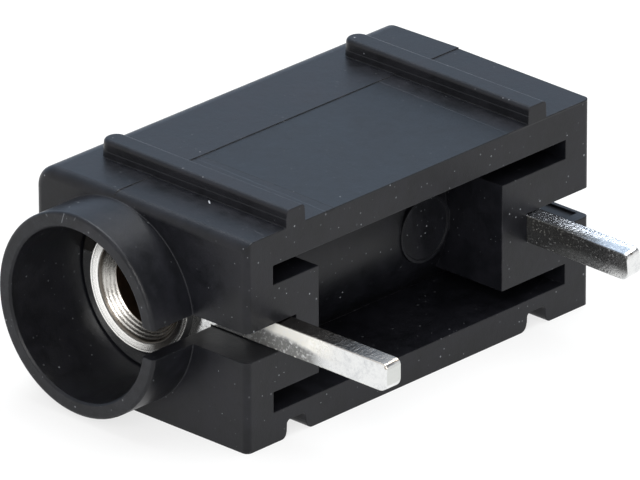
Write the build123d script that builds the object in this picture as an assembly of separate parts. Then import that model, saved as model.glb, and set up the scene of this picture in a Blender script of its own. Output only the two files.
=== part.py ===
from build123d import *
import math
import os

# A 4 mm panel socket for soldering to a circuit board, lying on its grooved side.
# All sizes are in millimetres. The plug enters along +Y, the solder pins point along +X
# towards the board, and +Z is the ribbed side.

# Housing block
body_width = 13.4           # left side to board face, X
body_length = 22.93         # front face to back face along the board face, Y
body_height = 10.36         # grooved side to ribbed side along the board face, Z
left_edge_radius = 1.1      # the two long edges away from the board
front_edge_radius = 0.5     # up the front face's left edge and along its top
back_left_radius = 0.5
board_upright_radius = 0.3

# Draft on the ribbed side and the back face: both rise from either end to the parting line
mould_draft = 0.5           # degrees
parting_from_left = 5.05
parting_step = 0.035        # the left half of the moulding stands this much proud there

# Bore axis and the round collar in front
axis_height = 5.2
axis_from_left = 5.15
collar_radius = 4.95
collar_projection = 2.57
mouth_radius = 4.2
collar_rim_radius = 0.16
mouth_chamfer = 0.1

# Pockets that core out the board face
bottom_wall = 1.53
top_wall = 1.56
front_end_wall = 1.72
back_end_wall = 1.66
barrel_radius = 4.85        # wall round the contact, bare between the two blocks
block_height = 5.3
front_block_length = 4.7
back_block_length = 5.97

# Ejector pad on the barrel
pad_radius = 1.65
pad_rise = 0.1              # above the barrel's highest line
pad_rim_width = 0.16
pad_dish_depth = 0.07
pad_from_back = 7.56        # pad centre to back face

# Interlocking ribs and grooves that join sockets side by side
rib_width = 1.25            # at its foot
rib_height = 0.84
rib_root = 0.1              # the ribs start this far inside the block
rib_side_angle = 3.0
rib_top_radius = 0.2
rib_from_front = 3.22       # first rib's centre to the front face
rib_pitch = 16.1
rib_from_left = 1.52
groove_clearance = 0.03     # round the neighbour's rib
groove_outer_radius = 0.3   # mouth corner nearer the housing's end
groove_inner_radius = 0.4   # mouth corner nearer the housing's middle

# Contact sleeve, turned
bore_radius = 2.0
sleeve_radius = 2.85
sleeve_face_depth = 1.4     # front face of the housing to the sleeve's front ring
lead_in = 0.55              # countersink at the mouth of the bore
ring_radius = 3.0
ring_dish = 0.14            # the ring's face is this much deeper at its inner edge
ring_step = 0.12            # the ring stands this far proud of the head's bevel
head_radius = 3.28
head_bevel = 0.2
head_thickness = 0.65
bore_depth = 17.6
bead_radius = 3.15          # swaged bead that holds the rear tag
bead_thickness = 0.4
sleeve_clearance = 0.03

# Solder tags: a ring round the sleeve and a straight pin
pin_thickness = 0.9         # along Y
pin_height = 1.44           # along Z
pin_clearance = 0.01        # pin to the slot's floor and roof
tag_radius = 4.1
front_pin_reach = 6.75      # board face to the pin's tip
rear_pin_reach = 6.25
pin_pitch = 16.6
pin_shear_drop = 0.08       # shearing leaves the top this much lower at the near face
pin_upper_tip_radius = 0.3
pin_lower_tip_radius = 0.55
pin_edge_bevel = 0.04       # round the near and far faces, outside the housing
rear_pin_twist = 6.0        # degrees at the tip, as the photographed piece has it
rear_pin_droop = 0.12       # its tip stands this much low
front_slot_relief = 0.28    # room behind the front pin

# Shallow recess in the rear slot's floor
floor_recess_depth = 0.12
floor_rim_at_back = 0.2
floor_rim_at_board = 0.6

# Places that follow from the sizes above
draft_slope = math.tan(math.radians(mould_draft))
rise_to_parting = (body_width - parting_from_left) * draft_slope + parting_step
fall_to_left = parting_from_left * draft_slope
front_pin_face = sleeve_face_depth + head_thickness
rear_pin_face = front_pin_face + pin_pitch
front_shoulder = front_pin_face + pin_thickness
rear_shoulder = rear_pin_face
slot_height = pin_height + 2 * pin_clearance
total_width = body_width + max(front_pin_reach, rear_pin_reach)
overshoot = 1.0             # how far cutting shapes run past a face

# The origin is under the middle of the whole part
to_origin = Pos(-total_width / 2, -(body_length + rise_to_parting - collar_projection) / 2, 0)


def block_between(low, high):
    """A box from its lowest corner to its highest."""
    size = [b - a for a, b in zip(low, high)]
    middle = [(a + b) / 2 for a, b in zip(low, high)]
    return Pos(*middle) * Box(*size)


def round_along_bore(radius, start, end):
    """A cylinder on the bore axis from one Y to another."""
    return Pos(axis_from_left, (start + end) / 2, axis_height) * Rot(90, 0, 0) * Cylinder(radius, end - start)


def turned(points):
    """A solid turned about the bore axis from (radius, Y) points."""
    outline = Plane.XY * make_face(Polyline(*points, close=True))
    return Pos(axis_from_left, 0, axis_height) * revolve(outline, Axis.Y)


def drafted_outline(far_side):
    """A rectangle whose far side rises from both ends to a small step at the parting line."""
    peak = far_side + rise_to_parting
    points = [
        (0, 0),
        (body_width, 0),
        (body_width, far_side),
        (parting_from_left, peak - parting_step),
        (parting_from_left, peak),
        (0, peak - fall_to_left),
    ]
    return make_face(Polyline(*points, close=True))


def front_bar(front_view):
    """The front view drawn out from the front face to behind the back face."""
    full_length = body_length + rise_to_parting
    return Pos(0, full_length, 0) * Rot(90, 0, 0) * extrude(front_view, full_length)


def rounded_left(half):
    """Rounds the left half's upper long edge, then the front face's left and top edges."""
    upper_edge = half.faces().sort_by(Axis.X)[0].edges().sort_by(Axis.Z)[-1]
    half = fillet(upper_edge, left_edge_radius)
    above_floor = half.faces().sort_by(Axis.Y)[0].edges().sort_by(Axis.Z)[1:]
    return fillet(above_floor.sort_by(Axis.X)[:-1], front_edge_radius)


def rounded_right(half):
    top_edge = half.faces().sort_by(Axis.Y)[0].edges().sort_by(Axis.Z)[-1]
    return fillet(top_edge, front_edge_radius)


def outer_block():
    """The drafted block, rounded half by half, then along its lower left edge and other uprights."""
    full_height = body_height + rise_to_parting
    plan = drafted_outline(body_length)
    block = front_bar(drafted_outline(body_height)) & extrude(plan, full_height)
    left_room = block_between((0, 0, 0), (parting_from_left, body_length + rise_to_parting, full_height))
    block = rounded_left(block & left_room) + rounded_right(block - left_room)
    front_view = Pos(body_width / 2, body_height) * Rectangle(body_width, 2 * body_height)
    lower_left = front_view.vertices().group_by(Axis.X)[0].sort_by(Axis.Y)[0]
    front_view = fillet(lower_left, left_edge_radius)
    back_left = plan.vertices().group_by(Axis.X)[0].sort_by(Axis.Y)[-1]
    plan = fillet(back_left, back_left_radius)
    plan = fillet(plan.vertices().group_by(Axis.X)[-1], board_upright_radius)
    return block & front_bar(front_view) & extrude(plan, full_height)


def collar():
    ring = round_along_bore(collar_radius, -collar_projection, body_length / 2)
    rim = ring.edges().sort_by(Axis.Y)[0]
    return fillet(rim, collar_rim_radius)


def board_pockets():
    """The cored-out spaces behind the board face: the box less the barrel and the two blocks."""
    low_z = bottom_wall
    high_z = body_height - top_wall
    pocket = block_between(
        (axis_from_left, front_end_wall, low_z),
        (body_width + overshoot, body_length - back_end_wall, high_z),
    )
    half = block_height / 2
    front_block = block_between(
        (0, -overshoot, axis_height - half),
        (body_width + 2 * overshoot, front_block_length, axis_height + half),
    )
    back_block = block_between(
        (0, body_length - back_block_length, axis_height - half),
        (body_width + 2 * overshoot, body_length + overshoot, axis_height + half),
    )
    barrel = round_along_bore(barrel_radius, -overshoot, body_length + overshoot)
    return pocket - front_block - back_block - barrel


def ejector_pad():
    top = axis_from_left + barrel_radius + pad_rise
    foot = axis_from_left + sleeve_radius + sleeve_clearance
    centre_y = body_length - pad_from_back
    disc = Pos((foot + top) / 2, centre_y, axis_height) * Rot(0, 90, 0) * Cylinder(pad_radius, top - foot)
    dish_radius = pad_radius - pad_rim_width
    dish = Pos(top, centre_y, axis_height) * Rot(0, 90, 0) * Cylinder(dish_radius, 2 * pad_dish_depth)
    bore = round_along_bore(sleeve_radius + sleeve_clearance, 0, body_length)
    return disc - dish - bore


def rib_shape(height, room):
    """A rib standing on Z = 0 with its round left end, wider all round by some room."""
    width = rib_width + 2 * room
    nose_x = rib_from_left + rib_width / 2
    end_x = body_width + overshoot
    straight = Pos((nose_x + end_x) / 2, 0) * Rectangle(end_x - nose_x, width)
    nose = Pos(nose_x, 0) * Circle(width / 2)
    bar = extrude(straight + nose, height, taper=rib_side_angle)
    return fillet(bar.faces().sort_by(Axis.Z)[-1].edges(), rib_top_radius)


def rib(centre_y):
    """A rib parallel to the drafted ribbed side, trimmed at the board face."""
    bar = Pos(-body_width, 0, -rib_root) * rib_shape(rib_height + rib_root, 0)
    bar = Pos(body_width, centre_y, body_height) * Rot(0, mould_draft, 0) * bar
    reach = block_between((0, centre_y - rib_width, 0), (body_width, centre_y + rib_width, 2 * body_height))
    return bar & reach


def mouth_corner(radius):
    """What a rounded mouth corner takes away beside a groove, on its +Y side."""
    edge_y = rib_width / 2 + groove_clearance + radius
    start_x = rib_from_left - groove_clearance
    flare = block_between((start_x, 0, 0), (body_width + overshoot, edge_y, radius))
    rounding = Pos((start_x + body_width) / 2, edge_y, radius) * Rot(0, 90, 0)
    return flare - rounding * Cylinder(radius, 2 * body_width)


def groove():
    """The space for a neighbour's rib, its inner mouth corner on the +Y side."""
    outer = mirror(mouth_corner(groove_outer_radius), Plane.XZ)
    space = rib_shape(rib_height + groove_clearance, groove_clearance)
    return space + mouth_corner(groove_inner_radius) + outer


def pin_slots():
    half = slot_height / 2
    front = block_between(
        (axis_from_left, -collar_projection - overshoot, axis_height - half),
        (body_width + overshoot, front_shoulder + front_slot_relief, axis_height + half),
    )
    rear = block_between(
        (axis_from_left, rear_shoulder, axis_height - half),
        (body_width + overshoot, body_length + overshoot, axis_height + half),
    )
    floor_z = axis_height - half
    floor_recess = block_between(
        (axis_from_left, rear_shoulder, floor_z - floor_recess_depth),
        (body_width - floor_rim_at_board, body_length - floor_rim_at_back, floor_z),
    )
    return front + rear + floor_recess


def make_housing():
    body = outer_block() + collar() - board_pockets() + ejector_pad()
    rib_places = (rib_from_front, rib_from_front + rib_pitch)
    for centre_y in rib_places:
        body += rib(centre_y)
    body -= Pos(0, rib_places[0], 0) * groove()
    body -= Pos(0, rib_places[1], 0) * mirror(groove(), Plane.XZ)
    body -= round_along_bore(sleeve_radius + sleeve_clearance, 0, body_length)
    front_recess = round_along_bore(mouth_radius, -collar_projection - overshoot, front_shoulder)
    rear_recess = round_along_bore(mouth_radius, rear_shoulder, body_length + overshoot)
    mouth_bevel = turned([
        (0, -collar_projection - overshoot),
        (mouth_radius + mouth_chamfer + overshoot, -collar_projection - overshoot),
        (mouth_radius, -collar_projection + mouth_chamfer),
        (0, -collar_projection + mouth_chamfer),
    ])
    return body - front_recess - rear_recess - mouth_bevel - pin_slots()


def make_sleeve():
    front = sleeve_face_depth
    bore_end = front + bore_depth
    tag_back = rear_pin_face + pin_thickness
    lead_start = front + ring_dish
    points = [
        (bore_radius + lead_in, lead_start),
        (ring_radius, front),
        (ring_radius, front + ring_step),
        (head_radius - head_bevel, front + ring_step),
        (head_radius, front + ring_step + head_bevel),
        (head_radius, front_pin_face),
        (sleeve_radius, front_pin_face),
        (sleeve_radius, tag_back),
        (bead_radius, tag_back),
        (bead_radius, tag_back + bead_thickness),
        (0, tag_back + bead_thickness),
        (0, bore_end),
        (bore_radius, bore_end),
        (bore_radius, lead_start + lead_in),
    ]
    return turned(points)


def pin_section():
    """Across a pin: upright sides, and a top that slopes down to the near one."""
    near = -pin_thickness / 2
    far = pin_thickness / 2
    low = -pin_height / 2
    high = pin_height / 2
    points = [(near, low), (far, low), (far, high), (near, high - pin_shear_drop)]
    return Plane.YZ * make_face(Polyline(*points, close=True))


def straight_bar(face_y, end_x):
    bar = extrude(pin_section(), end_x - axis_from_left)
    return Pos(axis_from_left, face_y + pin_thickness / 2, axis_height) * bar


def twisted_bar(face_y, reach, twist, droop):
    """The pin from the board face outwards, turned about its own length towards the tip."""
    middle_y = face_y + pin_thickness / 2
    at_board = Pos(body_width, middle_y, axis_height) * pin_section()
    at_tip = Pos(body_width + reach, middle_y, axis_height - droop) * Rot(twist, 0, 0) * pin_section()
    return loft([at_board, at_tip], ruled=True)


def finish_pin(bar):
    """Rounds the tip, then bevels the whole outline of the near and far faces."""
    bar = fillet(bar.faces().sort_by(Axis.X)[-1].edges().sort_by(Axis.Z)[0], pin_lower_tip_radius)
    bar = fillet(bar.faces().sort_by(Axis.X)[-1].edges().sort_by(Axis.Z)[-1], pin_upper_tip_radius)
    end = bar.faces().sort_by(Axis.X)[-1].edges().sort_by(Axis.Y)
    return chamfer([end[0], end[-1]], pin_edge_bevel)


def make_tag(face_y, pin):
    """One solder tag: a flat ring round the sleeve, and its pin."""
    far_y = face_y + pin_thickness
    ring = round_along_bore(tag_radius, face_y, far_y)
    hole = round_along_bore(sleeve_radius + sleeve_clearance, face_y - overshoot, far_y + overshoot)
    return ring + pin - hole


front_pin = finish_pin(straight_bar(front_pin_face, body_width + front_pin_reach))
rear_root = straight_bar(rear_pin_face, body_width)
rear_free = finish_pin(twisted_bar(rear_pin_face, rear_pin_reach, rear_pin_twist, rear_pin_droop))

pieces = {
    "housing": make_housing(),
    "contact_sleeve": make_sleeve(),
    "front_pin": make_tag(front_pin_face, front_pin),
    "rear_pin": make_tag(rear_pin_face, rear_root + rear_free),
}

os.makedirs("parts", exist_ok=True)
for name, piece in pieces.items():
    placed = to_origin * piece
    export_step(placed, f"parts/{name}.step")
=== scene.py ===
import math
import bpy
from mathutils import Matrix, Vector

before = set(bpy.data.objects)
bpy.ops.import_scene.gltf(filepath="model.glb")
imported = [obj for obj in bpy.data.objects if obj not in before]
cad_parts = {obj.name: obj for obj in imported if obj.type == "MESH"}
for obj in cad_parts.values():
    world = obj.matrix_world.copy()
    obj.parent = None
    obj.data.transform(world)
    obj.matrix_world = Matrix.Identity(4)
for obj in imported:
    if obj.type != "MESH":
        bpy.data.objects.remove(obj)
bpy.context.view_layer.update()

mm = 0.001
white = (1, 1, 1, 1)
print("frame loaded:", sorted(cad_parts))

# the bore's axis and the block's front face, in millimetres in the row frame
part = {
    "axisX": -4.925,
    "axisZ": 5.2,
    "frontY": -10.234,
}


# shader helpers

# a number from a node, with the usual operators
class Sock:
    def __init__(self, mat, socket):
        self.mat = mat
        self.socket = socket

    def math(self, operation, *others):
        return self.mat.math(operation, self, *others)

    def __add__(self, other): return self.math("ADD", other)
    def __radd__(self, other): return self.math("ADD", other)
    def __sub__(self, other): return self.math("SUBTRACT", other)
    def __rsub__(self, other): return self.mat.math("SUBTRACT", other, self)
    def __mul__(self, other): return self.math("MULTIPLY", other)
    def __rmul__(self, other): return self.math("MULTIPLY", other)
    def __pow__(self, other): return self.math("POWER", other)
    def __rpow__(self, other): return self.mat.math("POWER", other, self)


class Shader:
    outputKind = "ShaderNodeOutputMaterial"
    bandEnds = (0.3, 0.7)      # where a band starts to fade and where it is gone, in widths
    edgeTurn = (0.01, 0.2)     # how far a normal turns at the start of an edge and on it
    edgeSamples = 6

    def __init__(self, owner):
        self.owner = owner
        owner.use_nodes = True
        self.tree = owner.node_tree
        self.tree.nodes.clear()
        self.output = self.tree.nodes.new(self.outputKind)

    def plug(self, socket, value):
        if isinstance(value, Sock):
            value = value.socket
        if isinstance(value, bpy.types.NodeSocket):
            self.tree.links.new(value, socket)
        else:
            socket.default_value = value

    def node(self, kind, settings=None, sockets=None):
        made = self.tree.nodes.new(kind)
        for key, value in (settings or {}).items():
            setattr(made, key, value)
        for key, value in (sockets or {}).items():
            self.plug(made.inputs[key], value)
        return made

    def math(self, operation, *values):
        made = self.node("ShaderNodeMath", {"operation": operation}, dict(enumerate(values)))
        return Sock(self, made.outputs[0])

    def vector(self, operation, *values):
        made = self.node("ShaderNodeVectorMath", {"operation": operation}, dict(enumerate(values)))
        return made.outputs["Vector"]

    # a vector operation that gives a number, such as a distance
    def measure(self, operation, first, second):
        made = self.node("ShaderNodeVectorMath", {"operation": operation}, {0: first, 1: second})
        return Sock(self, made.outputs["Value"])

    def scaled(self, vector, factor):
        made = self.node("ShaderNodeVectorMath", {"operation": "SCALE"}, {0: vector, "Scale": factor})
        return made.outputs["Vector"]

    # place on the piece in millimetres, as a vector and as three numbers
    def place(self):
        pos = self.scaled(self.node("ShaderNodeTexCoord").outputs["Object"], 1 / mm)
        apart = self.node("ShaderNodeSeparateXYZ", sockets={0: pos})
        return pos, *(Sock(self, output) for output in apart.outputs)

    # sideways and upward offset from the bore's axis, and distance from it
    def aroundBore(self, x, z):
        dx = x - part["axisX"]
        dz = z - part["axisZ"]
        return dx, dz, self.math("SQRT", dx * dx + dz * dz)

    # 0 at the start, 1 at the end, smooth between; it falls where the end is the smaller
    def ramp(self, value, start, end):
        made = self.node("ShaderNodeMapRange", {"interpolation_type": "SMOOTHSTEP", "clamp": True},
                         {"Value": value, "From Min": start, "From Max": end})
        return Sock(self, made.outputs["Result"])

    def noise(self, vector, scale, detail, roughness=0.5):
        made = self.node("ShaderNodeTexNoise", sockets={
            "Vector": vector, "Scale": scale, "Detail": detail, "Roughness": roughness})
        return Sock(self, made.outputs["Fac"])

    # scattered dots: how far the nearest one is, and three random numbers of its own
    def dots(self, vector, scale):
        cells = self.node("ShaderNodeTexVoronoi", {"feature": "F1"}, {"Vector": vector, "Scale": scale})
        luck = self.node("ShaderNodeSeparateColor", sockets={0: cells.outputs["Color"]})
        return [Sock(self, output) for output in (cells.outputs["Distance"], *luck.outputs)]

    def blend(self, factor, first, second):
        made = self.node("ShaderNodeMix", {"data_type": "RGBA"}, {"Factor": factor, 6: first, 7: second})
        return made.outputs[2]

    # relief in millimetres on top of rounded edges
    def relief(self, height, edgeRadius):
        return self.node("ShaderNodeBump", sockets={
            "Height": height, "Distance": mm, "Strength": 1.0,
            "Normal": self.softEdges(edgeRadius)}).outputs["Normal"]

    def softEdges(self, radius):
        made = self.node("ShaderNodeBevel", {"samples": self.edgeSamples}, {"Radius": radius})
        return made.outputs["Normal"]

    # how far the surface is from the straight line between two points, in millimetres
    def lineDistance(self, vector, start, end):
        along = Vector(end) - Vector(start)
        offset = self.vector("SUBTRACT", vector, start)
        share = self.node("ShaderNodeMapRange", {"clamp": True}, {
            "Value": self.measure("DOT_PRODUCT", offset, along), "From Max": along.length_squared})
        nearest = self.scaled(tuple(along), share.outputs["Result"])
        return self.measure("DISTANCE", offset, nearest)

    # 1 where the value is at the middle, 0 outside the width
    def band(self, value, middle, width):
        core, gone = self.bandEnds
        return 1 - self.ramp(self.math("ABSOLUTE", value - middle), width * core, width * gone)

    # 1 between two values, with soft ends
    def between(self, value, low, high, soft):
        rises = self.ramp(value, low - soft, low + soft)
        return rises * (1 - self.ramp(value, high - soft, high + soft))

    # how much the edges and corners turn away within the radius
    def edges(self, radius):
        flat = self.node("ShaderNodeNewGeometry").outputs["Normal"]
        return self.ramp(1 - self.measure("DOT_PRODUCT", flat, self.softEdges(radius)), *self.edgeTurn)

    # 1 for rays from the camera and from shiny or clear surfaces, and 1 for the shiny ones alone
    def seen(self):
        path = self.node("ShaderNodeLightPath")
        kinds = ("Is Camera Ray", "Is Glossy Ray", "Is Transmission Ray")
        camera, glossy, clear = (Sock(self, path.outputs[kind]) for kind in kinds)
        return self.math("MAXIMUM", self.math("MAXIMUM", camera, glossy), clear), glossy

    def show(self, shader):
        self.tree.links.new(shader.outputs[0], self.output.inputs["Surface"])
        return self.owner

    def surface(self, **sockets):
        named = {name.replace("_", " "): value for name, value in sockets.items()}
        return self.show(self.node("ShaderNodeBsdfPrincipled", sockets=named))


class Room(Shader):
    outputKind = "ShaderNodeOutputWorld"

    # 1 where the ray looks towards a direction, 0 away from it
    def towards(self, direction, start, end):
        ray = self.node("ShaderNodeTexCoord").outputs["Generated"]
        return self.ramp(self.measure("DOT_PRODUCT", ray, Vector(direction).normalized()), start, end)


def dress(obj, material):
    obj.data.materials.clear()
    obj.data.materials.append(material)


# dust and fibres on the plastic

dust = {
    "colour": (0.50, 0.52, 0.56, 1),
    "perMm": 3.0,
    "size": (0.06, 0.10),       # radius in cells: the least, and what chance adds
    "clean": (0.62, 0.16),      # share of cells left clean, and what the ribbed side adds
    "pale": (0.05, 0.45),       # strength: the least, and what chance adds
    "rarity": 3.0,              # the higher, the fewer pale ones
    "speckCore": 0.6,           # share of a speck's radius that is full
    "strokeCore": 0.5,
    "rough": 0.3,
    # single specks: place, radius, strength
    "specks": (
        ((-2.09, -7.68, 10.38), 0.022, 0.35), ((-5.34, -4.23, 10.45), 0.040, 0.55),
        ((-1.62, 8.26, 10.38), 0.035, 0.6), ((0.22, 9.64, 11.20), 0.030, 0.4),
        ((-0.56, 8.27, 10.38), 0.025, 0.35), ((0.77, -4.46, 10.38), 0.035, 0.25),
        ((3.08, -10.18, 10.10), 0.035, 0.30), ((3.28, -10.10, 9.70), 0.030, 0.25),
        ((2.41, -10.23, 6.56), 0.030, 0.45), ((1.76, -10.23, 1.58), 0.030, 0.40),
        ((1.43, -10.20, 10.00), 0.030, 0.20), ((3.32, -7.63, 7.16), 0.035, 0.60),
        ((3.32, -8.00, 8.95), 0.030, 0.30), ((3.32, -8.33, 3.74), 0.030, 0.40),
        ((3.32, -7.82, 3.31), 0.030, 0.45), ((3.32, -8.41, 3.05), 0.028, 0.35),
        ((3.32, -9.58, 7.65), 0.028, 0.25), ((3.32, -9.11, 1.35), 0.030, 0.35),
    ),
    # fibres and scratches: both ends, width, strength
    "strokes": (
        ((-1.08, -8.02, 10.38), (-1.28, -7.86, 10.38), 0.050, 0.8),
        ((-2.14, -7.82, 10.38), (-2.02, -7.50, 10.38), 0.022, 0.35),
        ((-6.00, -12.00, 10.02), (-5.75, -12.55, 10.06), 0.020, 0.20),
        ((-5.75, -12.55, 10.06), (-5.62, -12.80, 10.02), 0.025, 0.35),
        ((-5.62, -12.80, 10.02), (-5.76, -12.81, 9.58), 0.022, 0.25),
        ((-4.97, -12.80, 9.92), (-4.86, -12.80, 10.12), 0.030, 0.12),
        ((-6.80, -12.80, 9.73), (-6.67, -12.80, 9.62), 0.030, 0.15),
        ((-5.80, -12.80, 1.60), (-6.02, -12.80, 1.30), 0.025, 0.25),
        ((2.44, -8.81, 10.37), (3.11, -8.89, 10.37), 0.030, 0.04),
    ),
}


def dustOn(mat, pos, onTop):
    near, chance, size, strength = mat.dots(pos, dust["perMm"])
    leastSize, moreSize = dust["size"]
    cleanShare, cleanerTop = dust["clean"]
    leastPale, morePale = dust["pale"]
    dot = mat.math("LESS_THAN", near, size * moreSize + leastSize)
    kept = mat.math("GREATER_THAN", chance, onTop * cleanerTop + cleanShare)
    found = dot * kept * (strength ** dust["rarity"] * morePale + leastPale)
    for place, reach, amount in dust["specks"]:
        gap = mat.measure("DISTANCE", pos, place)
        found = mat.math("MAXIMUM", found, (1 - mat.ramp(gap, reach * dust["speckCore"], reach)) * amount)
    for start, end, width, amount in dust["strokes"]:
        gap = mat.lineDistance(pos, start, end)
        found = mat.math("MAXIMUM", found, (1 - mat.ramp(gap, width * dust["strokeCore"], width)) * amount)
    return found


# marks of the mould's insert across the ribbed side, right of the parting line

insert = {
    "front": (-4.96, -4.48),    # Y of the two lines in front
    "back": 7.22,               # Y of the line behind
    "softest": 0.05,
    "soft": 0.04,
    "slant": (0.025, 0.035),    # what X adds to Y, on the first line and on the one behind
    "wander": 0.2,              # how far the lines stray, along a slow noise on X
    "wanderPerMm": 0.5,
    "wanderDetail": 2.0,
    "backWander": 0.4,          # share of it on the line behind
    "depth": 0.012,
}


def insertHeight(mat, pos, x, y):
    slow = mat.noise(mat.vector("MULTIPLY", pos, (insert["wanderPerMm"], 0, 0)), 1.0, insert["wanderDetail"])
    wander = (slow - 0.5) * insert["wander"]
    first, second = insert["front"]
    soft, softest = insert["soft"], insert["softest"]
    frontSlant, backSlant = insert["slant"]
    along = y + wander
    backAlong = y + wander * insert["backWander"] + x * backSlant
    down = mat.ramp(along + x * frontSlant, first - softest, first + softest)
    up = mat.ramp(along, second - soft, second + soft)
    step = mat.ramp(backAlong, insert["back"] - soft, insert["back"] + soft)
    return (step - (down - up)) * insert["depth"]


# black moulded plastic

plastic = {
    "colour": (0.0050, 0.0054, 0.0070, 1),
    "paleColour": (0.0094, 0.0096, 0.0128, 1),
    "panelColour": (0.0056, 0.0075, 0.0105, 1),
    # colour of the pale marks and lines, and of the painted highlight along the ribs
    "paleAndHighlightColour": (0.024, 0.025, 0.029, 1),
    "wornColour": (0.045, 0.045, 0.050, 1),
    "roughness": 0.37,
    "specular": 0.25,
    "ior": 1.5,
    "edgeRadius": 0.07 * mm,
    "wornRadius": 0.12 * mm,
    # noises: scale per millimetre, detail, roughness
    "cloud": (0.35, 4.0, 0.6),
    "blotch": (1.4, 4.0, 0.65),
    "grain": (14.0, 2.0, 0.6),
    "tiny": (45.0, 1.0, 0.5),
    # what they and the edges add to the roughness, and their relief in millimetres
    "cloudRough": 0.2,
    "blotchRough": 0.18,
    "tinyRough": 0.1,
    "edgeRough": 0.2,
    "blotchRelief": 0.010,
    "grainRelief": 0.004,
    "tinyRelief": 0.0015,
    # how much cloud and blotch decide the paleness, and between which values
    "paleShares": (0.6, 0.4),
    "paleRange": (0.35, 0.65),
    "rimRange": (0.4, 0.7),
    "wornRange": (0.5, 0.75),
    "panelTint": 0.8,
    "rimTint": 0.5,
    "wornTint": 0.5,
    # places: the ribbed side, the parting line, the ribs, the collar's rim and root
    "topZ": (10.25, 10.33),
    "partingX": -5.025,
    "ribsY": (-7.014, 9.086),
    "ribHalf": 0.625,
    "rimY": (-12.80, -12.76),
    # pale lines round the collar's root and round its rim, and a painted highlight along each rib's near
    # side, where a ledge would catch light from above
    "ribHighlightZ": 10.76,
    "ribHighlightWidths": (0.12, 0.05),
    "rootLineRadius": 4.97,
    "rootLineWidths": (0.06, 0.08),
    "rootLineTint": 0.6,
    "rimLineRadius": 4.80,
    "rimLineWidth": 0.05,
    "rimLineY": (-12.82, -12.70),
    "rimLineTint": 0.1,
}


def paleLinesAndRibHighlight(mat, y, z, radius):
    # the line along each rib's near side is a painted highlight of a ledge lit from above; the collar's
    # lines are pale marks
    across, tall = plastic["ribHighlightWidths"]
    front, rear = (mat.band(y, middle - plastic["ribHalf"], across) for middle in plastic["ribsY"])
    ribLedgeHighlight = mat.band(z, plastic["ribHighlightZ"], tall) * (front + rear)
    across, deep = plastic["rootLineWidths"]
    rootLine = mat.band(radius, plastic["rootLineRadius"], across) * mat.band(y, part["frontY"], deep)
    rimLine = mat.band(radius, plastic["rimLineRadius"], plastic["rimLineWidth"])
    rimLine = rimLine * (1 - mat.ramp(y, *plastic["rimLineY"]))
    total = ribLedgeHighlight + rootLine * plastic["rootLineTint"] + rimLine * plastic["rimLineTint"]
    return mat.math("MINIMUM", total, 1.0)


def makePlastic():
    mat = Shader(bpy.data.materials.new("black moulded plastic"))
    pos, x, y, z = mat.place()
    radius = mat.aroundBore(x, z)[-1]
    cloud, blotch, grain, tiny = (mat.noise(pos, *plastic[k]) for k in ("cloud", "blotch", "grain", "tiny"))
    onTop = mat.ramp(z, *plastic["topZ"])
    onInsertSide = onTop * mat.math("GREATER_THAN", x, plastic["partingX"])
    panel = mat.between(y, insert["front"][1], insert["back"], insert["softest"]) * onInsertSide
    rim = (1 - mat.ramp(y, *plastic["rimY"])) * mat.ramp(blotch * 0.5 + grain * 0.5, *plastic["rimRange"])
    turning = mat.edges(plastic["wornRadius"])
    wearAndLitPart = turning * mat.ramp(blotch, *plastic["wornRange"])
    dusty = dustOn(mat, pos, onTop)
    cloudShare, blotchShare = plastic["paleShares"]
    pale = mat.ramp(cloud * cloudShare + blotch * blotchShare, *plastic["paleRange"])

    colour = mat.blend(pale, plastic["colour"], plastic["paleColour"])
    colour = mat.blend(panel * plastic["panelTint"], colour, plastic["panelColour"])
    colour = mat.blend(rim * plastic["rimTint"], colour, plastic["paleAndHighlightColour"])
    # pale lines round the collar, and a painted highlight along each rib's near side
    colour = mat.blend(paleLinesAndRibHighlight(mat, y, z, radius), colour, plastic["paleAndHighlightColour"])
    colour = mat.blend(wearAndLitPart * plastic["wornTint"], colour, plastic["wornColour"])
    colour = mat.blend(dusty, colour, dust["colour"])
    rough = plastic["roughness"] + (cloud - 0.5) * plastic["cloudRough"]
    rough = rough + (blotch - 0.5) * plastic["blotchRough"] + (tiny - 0.5) * plastic["tinyRough"]
    rough = rough + dusty * dust["rough"] + turning * plastic["edgeRough"]
    height = insertHeight(mat, pos, x, y) * onInsertSide
    height = height + grain * plastic["grainRelief"] + tiny * plastic["tinyRelief"]
    height = height + blotch * plastic["blotchRelief"]
    return mat.surface(Base_Color=colour, Roughness=rough, Normal=mat.relief(height, plastic["edgeRadius"]),
                       IOR=plastic["ior"], Specular_IOR_Level=plastic["specular"])


# nickel on the turned sleeve

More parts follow.
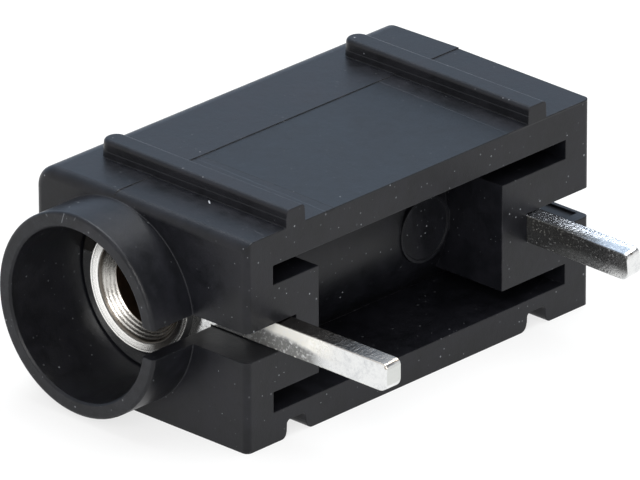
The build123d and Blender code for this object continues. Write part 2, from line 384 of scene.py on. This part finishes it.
nickel = {
    "ringColour": (0.97, 0.96, 0.93, 1),
    "gapColour": (0.10, 0.085, 0.07, 1),
    "leadColour": (0.74, 0.72, 0.68, 1),
    "leadShade": (0.13, 0.12, 0.11, 1),
    "boreColour": (0.40, 0.30, 0.22, 1),
    "roughness": 0.14,
    "edgeRadius": 0.03 * mm,
    # noises: scale per millimetre, detail, roughness
    "cloud": (2.5, 3.0),
    "fleck": (12.0, 3.0, 0.7),
    # turning lines round the axis: the noise's settings, and how fast it runs along the bore
    "lines": {"Scale": 14.0, "Detail": 3.0},
    "linesAlong": 0.7,
    "lineRange": (0.62, 0.72),
    "lineTint": 0.15,
    # what they and the places add to the roughness, and their relief in millimetres
    "lineRough": 0.2,
    "cloudRough": 0.08,
    "boreRough": 0.15,
    "leadRough": 0.08,
    "lineRelief": 0.006,
    "threadRelief": 0.006,
    "fleckRelief": 0.008,
    # the bore, by radius and by Y
    "boreRadius": (2.01, 2.08),
    "boreEnds": (-8.15, 8.80),
    "boreSoft": 0.02,
    "frontSoft": 0.05,
    # the stained line inside the ring, by radius, and how it wavers
    "gap": (2.44, 2.60),
    "gapSoft": 0.04,
    "gapWaver": 0.06,
    "gapTint": 0.9,
    # the ring's stained right side: X from the axis, and the radius it stops at
    "stainX": (0.9, 1.6),
    "stainRadius": (2.85, 2.93),
    "stainTint": 0.85,
    # turning marks in the countersink, shown in its lower part, which is left bright as if lit from above,
    # while painted shade covers its upper part
    "threadPitch": 0.13,
    "threadWaver": 0.03,
    "threadShares": (0.3, 0.7),
    "threadRange": (0.42, 0.58),
    "threadTint": 0.85,
    "paintedUpperShadeZ": (-0.8, 1.2),
    "paintedUpperShadeWaver": 1.2,
    "paintedUpperShadeTint": 0.6,
}


def makeNickel():
    mat = Shader(bpy.data.materials.new("turned nickel"))
    pos, x, y, z = mat.place()
    dx, dz, radius = mat.aroundBore(x, z)
    lines = mat.node("ShaderNodeTexNoise", {"noise_dimensions": "1D"},
                     {"W": radius + y * nickel["linesAlong"], **nickel["lines"]})
    turned = Sock(mat, lines.outputs["Fac"])
    cloud = mat.noise(pos, *nickel["cloud"])
    fleck = mat.noise(pos, *nickel["fleck"])

    # where: the bore, the stained gap, the countersink and the ring's stained side
    boreStart, boreEnd = nickel["boreEnds"]
    inBore = 1 - mat.ramp(radius, *nickel["boreRadius"])
    inBore = inBore * mat.between(y, boreStart, boreEnd, nickel["boreSoft"])
    inFront = 1 - mat.ramp(y, boreStart, boreStart + nickel["frontSoft"])
    low, high = nickel["gap"]
    soft = nickel["gapSoft"]
    inGap = mat.between(radius + (cloud - 0.5) * nickel["gapWaver"], low, high, soft) * inFront
    inLead = (1 - mat.ramp(radius, high - soft, high + soft)) * inFront
    stained = mat.ramp(dx + cloud, *nickel["stainX"]) * (1 - mat.ramp(radius, *nickel["stainRadius"]))

    # painted light on the countersink: painted shade over its upper part, and its lower part left bright as
    # if lit from above
    paintedUpperShade = mat.ramp(dz + cloud * nickel["paintedUpperShadeWaver"], *nickel["paintedUpperShadeZ"])
    wearAndLitPart = 1 - paintedUpperShade
    turns = (radius + fleck * nickel["threadWaver"]) * (2 * math.pi / nickel["threadPitch"])
    thread = mat.math("SINE", turns) * 0.5 + 0.5
    threadShare, fleckShare = nickel["threadShares"]
    marks = mat.ramp(thread * threadShare + fleck * fleckShare, *nickel["threadRange"]) * wearAndLitPart
    shade = mat.math("MAXIMUM", marks * nickel["threadTint"], paintedUpperShade * nickel["paintedUpperShadeTint"])
    lead = mat.blend(shade, nickel["leadColour"], nickel["leadShade"])

    streak = mat.ramp(turned, *nickel["lineRange"]) * nickel["lineTint"]
    colour = mat.blend(streak, nickel["ringColour"], nickel["gapColour"])
    colour = mat.blend(stained * nickel["stainTint"], colour, nickel["gapColour"])
    colour = mat.blend(inLead, colour, lead)
    colour = mat.blend(inGap * nickel["gapTint"], colour, nickel["gapColour"])
    colour = mat.blend(inBore, colour, nickel["boreColour"])
    rough = nickel["roughness"] + (turned - 0.5) * nickel["lineRough"] + cloud * nickel["cloudRough"]
    rough = rough + inBore * nickel["boreRough"] + inLead * nickel["leadRough"]
    cut = thread * wearAndLitPart * nickel["threadRelief"] + fleck * nickel["fleckRelief"]
    height = turned * nickel["lineRelief"] + inLead * cut
    return mat.surface(Base_Color=colour, Metallic=1.0, Roughness=rough,
                       Normal=mat.relief(height, nickel["edgeRadius"]))


# tinned sheet of the pins

tin = {
    "colour": (0.80, 0.805, 0.80, 1),
    "greyColour": (0.62, 0.63, 0.64, 1),
    "creamColour": (0.84, 0.82, 0.76, 1),
    "darkColour": (0.20, 0.195, 0.19, 1),
    "shadeColour": (0.05, 0.05, 0.05, 1),
    "dullColour": (0.20, 0.20, 0.195, 1),
    "endColour": (0.60, 0.61, 0.59, 1),
    "stainColour": (0.20, 0.15, 0.10, 1),
    "roughness": 0.2,
    "edgeRadius": 0.04 * mm,
    # noises: scale per millimetre, detail, roughness
    "patches": (1.3, 4.0, 0.6),
    "mottle": (5.0, 4.0, 0.7),
    "spots": (9.0, 3.0, 0.6),
    "streaks": (2.0, 4.0, 0.6),
    "streakStretch": (5.0, 0.7, 5.0),
    # what they and the flecks add to the roughness, and their relief in millimetres
    "streakRough": 0.2,
    "spotRough": 0.15,
    "fleckRough": 0.3,
    "streakRelief": 0.012,
    "patchRelief": 0.012,
    "mottleRelief": 0.006,
    "spotRelief": 0.004,
    "nearSpotRelief": 0.01,
    "greyRange": (0.45, 0.68),
    # where the top, the near face and the end at the tip shade into one another
    "topZ": (5.78, 5.85),
    "nearEdge": 0.06,
    "tipEdge": (0.05, 0.01),
    # the top brightens towards the tip along ragged streaks
    "streakReach": 3.5,
    "brightLength": 2.8,
    # the root: it starts outside the housing's slot, dull in its lower part and cream above
    "outX": (1.0, 1.8),
    "raggedness": (1.6, 0.8),
    "dullX": (5.2, 6.6),
    "dullZ": (5.10, 5.42),
    "dullWaver": 0.25,
    "dullSlope": 0.08,
    "dullFromX": 3.3,
    "dullRange": (0.74, 0.50),
    "dullness": 0.85,
    "creamX": (5.5, 7.5),
    "creamRange": (0.25, 0.55),
    # the near face's shade
    "shadeShares": (0.6, 0.4),
    "shadeRange": (0.72, 0.54),
    "shadeDullness": 0.3,
    # a stained nick at the tip
    "nickRadius": (0.05, 0.12),
    "nickWaver": 0.06,
    "nickTint": 0.7,
    # bright flecks along the near face's sheared edges: radius in cells, share of cells left clean,
    # and middle and width of both bands in Z
    "flecksPerMm": 5.0,
    "fleckSize": 0.32,
    "fleckClean": 0.5,
    "fleckBands": ((5.84, 0.16), (4.50, 0.12)),
    "fleckTint": 0.8,
}
pinLooks = {
    "front_pin": {"tip": 10.07, "nearY": -8.18, "top": 0.80, "topFrom": 7.4, "near": 0.0, "root": 1.0,
                  "topColour": (0.56, 0.49, 0.42, 1), "endShade": 0.9, "sparkle": 0.006,
                  "nick": (9.95, -8.18, 5.72)},
    "rear_pin": {"tip": 9.57, "nearY": 8.42, "top": 0.12, "topFrom": 4.6, "near": 0.95, "root": 0.0,
                 "topColour": (0.64, 0.66, 0.70, 1), "endShade": 0.1, "sparkle": 0.03,
                 "nick": (9.50, 8.75, 5.70)},
}


def makeTin(name):
    look = pinLooks[name]
    mat = Shader(bpy.data.materials.new("tinned sheet, " + name.replace("_", " ")))
    pos, x, y, z = mat.place()
    patches, mottle, spots = (mat.noise(pos, *tin[k]) for k in ("patches", "mottle", "spots"))
    streaks = mat.noise(mat.vector("MULTIPLY", pos, tin["streakStretch"]), *tin["streaks"])
    onTop = mat.ramp(z, *tin["topZ"])
    onNear = (1 - mat.ramp(y, look["nearY"], look["nearY"] + tin["nearEdge"])) * (1 - onTop)
    atEnd = mat.ramp(x, *(look["tip"] - before for before in tin["tipEdge"]))
    reach = x + (streaks - 0.5) * tin["streakReach"]
    towardsTip = mat.ramp(reach, look["topFrom"], look["topFrom"] + tin["brightLength"])
    dark = onTop * (1 - towardsTip) * look["top"]

    # the root
    patchy, mottled = tin["raggedness"]
    ragged = (patches - 0.5) * patchy + (mottle - 0.5) * mottled
    root = (1 - mat.ramp(x + ragged, *tin["dullX"])) * onNear * mat.ramp(x, *tin["outX"]) * look["root"]
    slope = (x - tin["dullFromX"]) * tin["dullSlope"]
    low = 1 - mat.ramp(z + ragged * tin["dullWaver"] + slope, *tin["dullZ"])
    cream = (1 - mat.ramp(x + ragged, *tin["creamX"])) * (1 - low) * onNear
    cream = cream * mat.ramp(mottle, *tin["creamRange"])

    # the near face's shade, the nick and the bright flecks
    shade = onNear * look["near"] * (1 - atEnd)
    spotShare, mottleShare = tin["shadeShares"]
    shaded = shade * mat.ramp(spots * spotShare + mottle * mottleShare, *tin["shadeRange"])
    gap = mat.measure("DISTANCE", pos, look["nick"]) + (spots - 0.5) * tin["nickWaver"]
    nick = 1 - mat.ramp(gap, *tin["nickRadius"])
    near, chance = mat.dots(pos, tin["flecksPerMm"])[:2]
    fleck = mat.math("LESS_THAN", near, tin["fleckSize"])
    fleck = fleck * mat.math("GREATER_THAN", chance, tin["fleckClean"])
    upper, lower = (mat.band(z, *places) for places in tin["fleckBands"])
    fleck = fleck * mat.math("MINIMUM", upper + lower, 1.0) * onNear

    grey = mat.ramp(patches * 0.5 + mottle * 0.5, *tin["greyRange"])
    colour = mat.blend(grey, tin["colour"], tin["greyColour"])
    colour = mat.blend(onTop, colour, look["topColour"])
    colour = mat.blend(cream, colour, tin["creamColour"])
    colour = mat.blend(root * low * mat.ramp(mottle, *tin["dullRange"]), colour, tin["dullColour"])
    colour = mat.blend(atEnd * look["endShade"], colour, tin["endColour"])
    colour = mat.blend(dark, colour, tin["darkColour"])
    colour = mat.blend(shaded, colour, tin["shadeColour"])
    colour = mat.blend(nick * tin["nickTint"], colour, tin["stainColour"])
    colour = mat.blend(fleck * tin["fleckTint"], colour, tin["creamColour"])
    metal = 1 - mat.math("MAXIMUM", root * tin["dullness"], shade * tin["shadeDullness"])
    rough = tin["roughness"] + (streaks - 0.5) * tin["streakRough"]
    rough = rough + (spots - 0.5) * tin["spotRough"] + fleck * tin["fleckRough"]
    sparkle = onTop * look["sparkle"] + onNear * look["near"] * tin["nearSpotRelief"] + tin["spotRelief"]
    height = streaks * onTop * tin["streakRelief"] + spots * sparkle
    height = height + patches * tin["patchRelief"] + mottle * tin["mottleRelief"]
    return mat.surface(Base_Color=colour, Metallic=metal, Roughness=rough,
                       Normal=mat.relief(height, tin["edgeRadius"]))


dress(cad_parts["housing"], makePlastic())
dress(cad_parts["contact_sleeve"], makeNickel())
for pinName in pinLooks:
    dress(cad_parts[pinName], makeTin(pinName))
print("materials on the CAD nodes")


# floor and light

studio = {
    "floorSize": 3.0,
    "floorColour": (0.9, 0.9, 0.9, 1),
    "floorGlow": 0.75,
    "worldStrength": 0.60,
    # the cool corner of the room that the ribbed side mirrors, and the dim one beside the collar
    "coolTowards": (-0.63, 0.66, 0.41),
    "coolRange": (0.1, 0.8),
    "coolColour": (0.64, 0.79, 1.0, 1),
    "dimTowards": (0.20, 0.62, 0.75),
    "dimRange": (0.75, 0.97),
    "dimColour": (0.20, 0.20, 0.21, 1),
}

bpy.ops.object.select_all(action="DESELECT")
bpy.ops.mesh.primitive_plane_add(size=studio["floorSize"], location=(0, 0, 0))
floor = bpy.context.object
floor.name = "floor"
floorPaint = Shader(bpy.data.materials.new("pale floor"))
seen = floorPaint.seen()[0]
paint = floorPaint.node("ShaderNodeBsdfDiffuse", sockets={"Color": studio["floorColour"]})
glow = floorPaint.node("ShaderNodeEmission", sockets={"Color": white, "Strength": 1.0})
dress(floor, floorPaint.show(floorPaint.node("ShaderNodeMixShader", sockets={
    0: seen * studio["floorGlow"], 1: paint.outputs[0], 2: glow.outputs[0]})))

bpy.context.scene.world = bpy.data.worlds.new("studio")
room = Room(bpy.context.scene.world)
seen, mirrored = room.seen()
walls = white
for corner in ("cool", "dim"):
    facing = room.towards(studio[corner + "Towards"], *studio[corner + "Range"])
    walls = room.blend(facing * mirrored, walls, studio[corner + "Colour"])
soft = room.node("ShaderNodeBackground", sockets={"Color": white, "Strength": studio["worldStrength"]})
plain = room.node("ShaderNodeBackground", sockets={"Color": walls, "Strength": 1.0})
room.show(room.node("ShaderNodeMixShader", sockets={0: seen, 1: soft.outputs[0], 2: plain.outputs[0]}))

lamps = {
    "overhead": {"place": (-0.05, 0.10, 0.45), "size": 0.35, "power": 2.4, "colour": (0.95, 0.98, 1.0)},
    "front": {"place": (0.25, -0.35, 0.30), "size": 0.25, "power": 1.2, "colour": (1.0, 0.99, 0.97)},
}
for lampName, lamp in lamps.items():
    bpy.ops.object.light_add(type="AREA", location=lamp["place"])
    light = bpy.context.object
    light.name = lampName
    light.data.size = lamp["size"]
    light.data.energy = lamp["power"]
    light.data.color = lamp["colour"]
    light.rotation_euler = (-Vector(lamp["place"])).to_track_quat("-Z", "Y").to_euler()
print("floor, world and lamps")


# camera, as the photograph was taken

view = {
    "azimuth": 43.473,
    "elevation": 23.872,
    "roll": -0.159,
    "distance": 524.1 * mm,
    "lens": 641.08,
    "sensor": 36,
    "aim": (-3.275 * mm, 1.266 * mm, 5.3 * mm),
    "right": 0.183 * mm,
    "down": 0.349 * mm,
    "nearest": 0.01,
    "farthest": 20,
}
azimuth, elevation, roll = (math.radians(view[k]) for k in ("azimuth", "elevation", "roll"))
outward = Vector((math.sin(azimuth), -math.cos(azimuth), 0))
away = outward * math.cos(elevation) + Vector((0, 0, math.sin(elevation)))
level = Vector((math.cos(azimuth), math.sin(azimuth), 0))
upright = away.cross(level)
across = math.cos(roll) * level + math.sin(roll) * upright
upward = math.cos(roll) * upright - math.sin(roll) * level
spot = Vector(view["aim"]) + away * view["distance"] + across * view["right"] - upward * view["down"]
turned = Matrix((across, upward, away)).transposed().to_euler()
bpy.ops.object.camera_add(location=spot, rotation=turned)
camera = bpy.context.object
camera.data.lens = view["lens"]
camera.data.sensor_width = view["sensor"]
camera.data.clip_start = view["nearest"]
camera.data.clip_end = view["farthest"]
bpy.context.scene.camera = camera
bpy.context.scene.view_settings.view_transform = "Standard"
print("camera placed")
